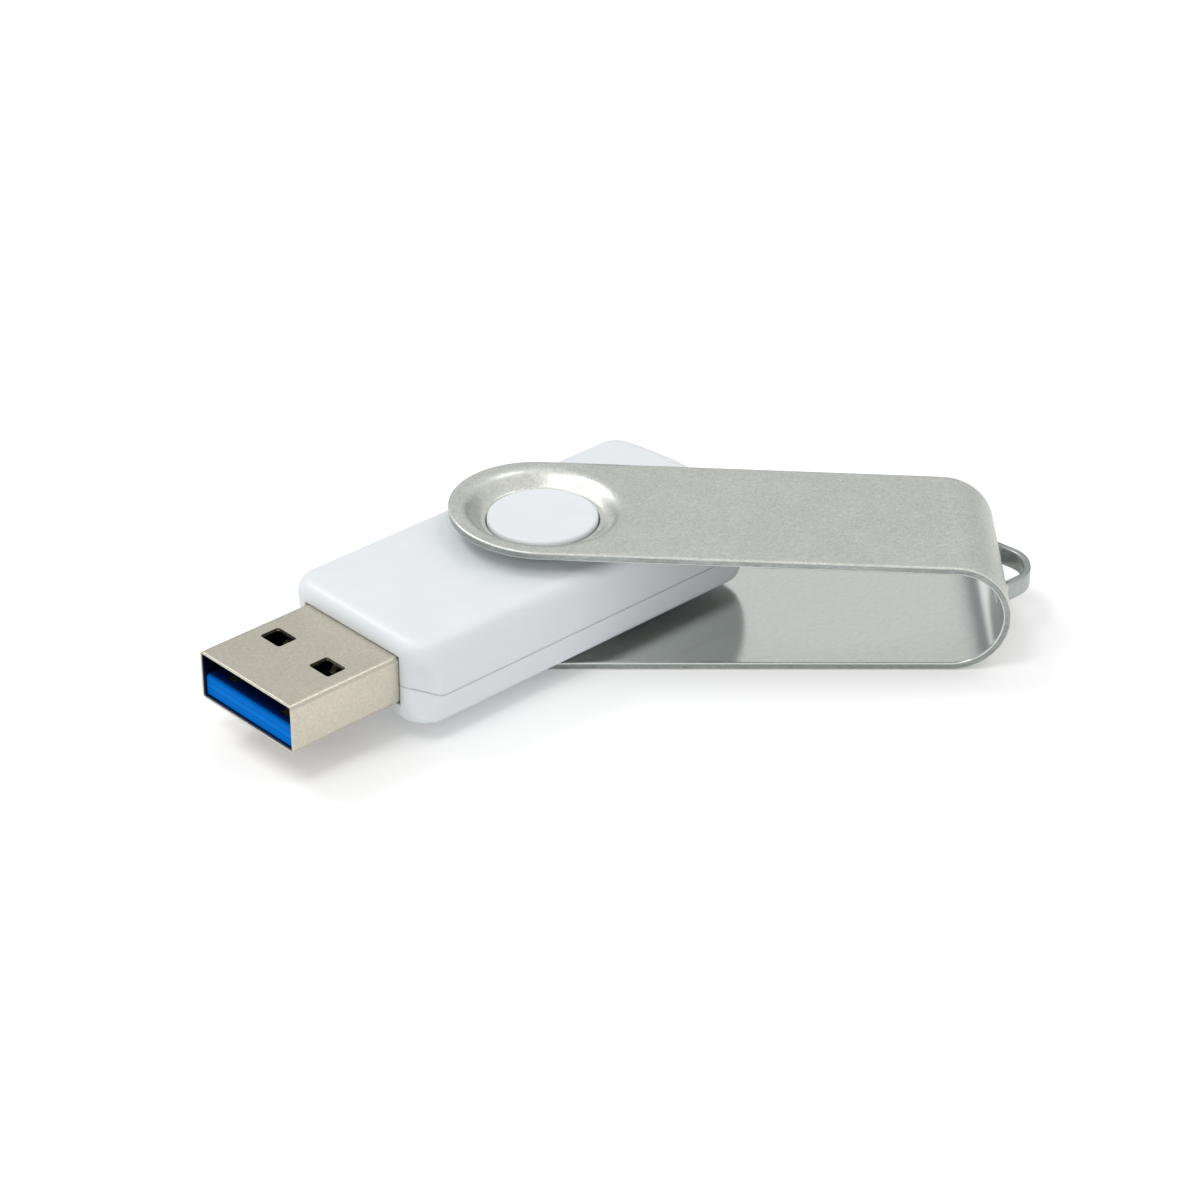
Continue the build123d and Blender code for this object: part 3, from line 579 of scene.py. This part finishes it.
def thicken(points, quads, thickness, edge_round):
    """Gives a surface its sheet thickness, with rounded rims.

    Returns vertices, faces, and each face's skin: 0 outside, 1 inside, 2 cut edge.
    """
    normals = vertex_normals(points, quads)
    place = np.array(points)
    half = np.array(thickness)[:, None] / 2
    outward = np.zeros_like(place)
    loops = boundary_loops(quads)
    for loop in loops:
        for before, at, after in zip(loop[-1:] + loop[:-1], loop, loop[1:] + loop[:1]):
            tangent = place[after] - place[before]
            side = np.cross(tangent, normals[at])
            size = np.linalg.norm(side)
            into, out = place[at] - place[before], place[after] - place[at]
            turn = np.dot(into, out) / (np.linalg.norm(into) * np.linalg.norm(out))
            outward[at] = side / size if size > 1e-9 and turn > -0.5 else 0
    top = place + normals * half - outward * edge_round
    bottom = place - normals * half - outward * edge_round
    vertices = list(top) + list(bottom)
    count = len(points)
    faces = [list(q) for q in quads] + [[q + count for q in quad[::-1]] for quad in quads]
    skins = [0] * len(quads) + [1] * len(quads)
    for loop in loops:
        columns = []
        for at in loop:
            column = [at]
            for side, step in RIM_ROUTE:
                angle = math.pi / 2 * step / RIM_STEPS
                rise = half[at, 0] - edge_round * (1 - math.cos(angle))
                reach = edge_round * (math.sin(angle) - 1)
                column.append(len(vertices))
                vertices.append(place[at] + side * normals[at] * rise + outward[at] * reach)
            column.append(at + count)
            columns.append(column)
        for here, there in zip(columns, columns[1:] + columns[:1]):
            for m in range(len(here) - 1):
                faces.append([here[m], here[m + 1], there[m + 1], there[m]])
                skins.append(0 if m < RIM_STEPS else 2 if m == RIM_STEPS else 1)
    return vertices, faces, skins


def make_object(name, vertices, faces):
    """Mesh object in the scene, with its place in its mesh."""
    mesh = bpy.data.meshes.new(name)
    mesh.from_pydata([tuple(v) for v in vertices], [], faces)
    mesh.validate()
    mesh.update()
    piece = bpy.data.objects.new(name, mesh)
    bpy.context.scene.collection.objects.link(piece)
    return piece


def build_clip():
    """The folded sheet, turned to its rest pose about the swivel axis."""
    points, quads, thickness = blank_mesh()
    turn_cos, turn_sin = math.cos(CLIP_ANGLE), math.sin(CLIP_ANGLE)
    points = [(p.x * turn_cos - p.y * turn_sin, p.x * turn_sin + p.y * turn_cos, p.z) for p in points]
    vertices, faces, skins = thicken(points, quads, thickness, EDGE_ROUND)
    clip = make_object("clip_sheet", vertices, faces)
    for material in (clip_outside, clip_inside, clip_edge_painted_shade, clip_loop_painted_shade):
        clip.data.materials.append(material)
    loop_start = BEND_CENTRE + BEND_RADIUS + 0.1 * MM
    for polygon, skin in zip(clip.data.polygons, skins):
        along = polygon.center.x * turn_cos + polygon.center.y * turn_sin
        polygon.material_index = LOOP_SKIN if along > loop_start else skin
        polygon.use_smooth = True
    smooth = clip.modifiers.new("weighted", "WEIGHTED_NORMAL")
    smooth.mode = "FACE_AREA"
    smooth.weight = 80
    return clip


clip = build_clip()
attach(clip, "clip")
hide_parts("swivel_clip")


# ---------------------------------------------------------------- floor, light and camera

def build_floor():
    """White table top with a little light of its own, which keeps the shadows pale."""
    half = 2.0                  # metres
    floor = make_object(
        "floor",
        [(-half, -half, 0), (half, -half, 0), (half, half, 0), (-half, half, 0)],
        [[0, 1, 2, 3]],
    )
    material, tree, shader = new_material("pale_floor")
    set_inputs(shader, Base_Color=(0.82, 0.82, 0.82, 1), Roughness=0.9, Specular_IOR_Level=0.0,
               Emission_Color=(1, 1, 1, 1), Emission_Strength=0.16)
    floor.data.materials.append(material)


def build_world():
    """Soft surround: bright overhead, darker near the horizon behind the object."""
    world = bpy.data.worlds.new("surround")
    bpy.context.scene.world = world
    world.use_nodes = True
    tree = world.node_tree
    shader = tree.nodes["Background"]
    place = tree.nodes.new("ShaderNodeTexCoord")
    lean = tree.nodes.new("ShaderNodeVectorMath")
    lean.operation = "DOT_PRODUCT"
    view = math.radians(VIEW_AZIMUTH)
    tilt = 0.35
    lean.inputs[1].default_value = (tilt * math.cos(view), tilt * math.sin(view), 1.0)
    tree.links.new(place.outputs["Generated"], lean.inputs[0])
    height = remap(tree, lean.outputs["Value"], -0.1, 1.0)
    stops = [
        (0.0, (0.29, 0.30, 0.325)),
        (0.14, (0.74, 0.75, 0.77)),
        (0.25, (0.92, 0.925, 0.93)),
        (0.6, (1, 1, 1)),
    ]
    tree.links.new(ramp(tree, height, stops), shader.inputs["Color"])
    shader.inputs["Strength"].default_value = 0.88


def aimed(name, data, azimuth, elevation, distance):
    """Light or camera that faces the object from this direction."""
    item = bpy.data.objects.new(name, data)
    bpy.context.scene.collection.objects.link(item)
    a, e = math.radians(azimuth), math.radians(elevation)
    away = Vector((math.cos(a) * math.cos(e), math.sin(a) * math.cos(e), math.sin(e)))
    item.location = VIEW_TARGET + away * distance
    item.rotation_euler = away.to_track_quat("Z", "Y").to_euler()
    return item


def soft_box(name, azimuth, elevation, size, power):
    """Square area light, size in metres and power in watts. azimuth is degrees from the camera's side."""
    data = bpy.data.lights.new(name, "AREA")
    data.shape = "SQUARE"
    data.size = size
    data.energy = power
    aimed(name, data, VIEW_AZIMUTH + azimuth, elevation, LIGHT_DISTANCE)


def build_camera():
    """Camera at the photograph's viewing angle."""
    data = bpy.data.cameras.new("camera")
    data.lens = LENS
    data.sensor_width = 36.0
    data.clip_start = 0.01
    bpy.context.scene.camera = aimed("camera", data, VIEW_AZIMUTH, VIEW_ELEVATION, VIEW_DISTANCE)


build_floor()
build_world()
soft_box("left_box", -122, 50, 0.2, 1.15)
soft_box("right_box", 111, 64, 0.15, 0.3)
soft_box("front_box", -46, 62, 0.2, 0.85)
build_camera()
bpy.context.scene.view_settings.view_transform = "Standard"
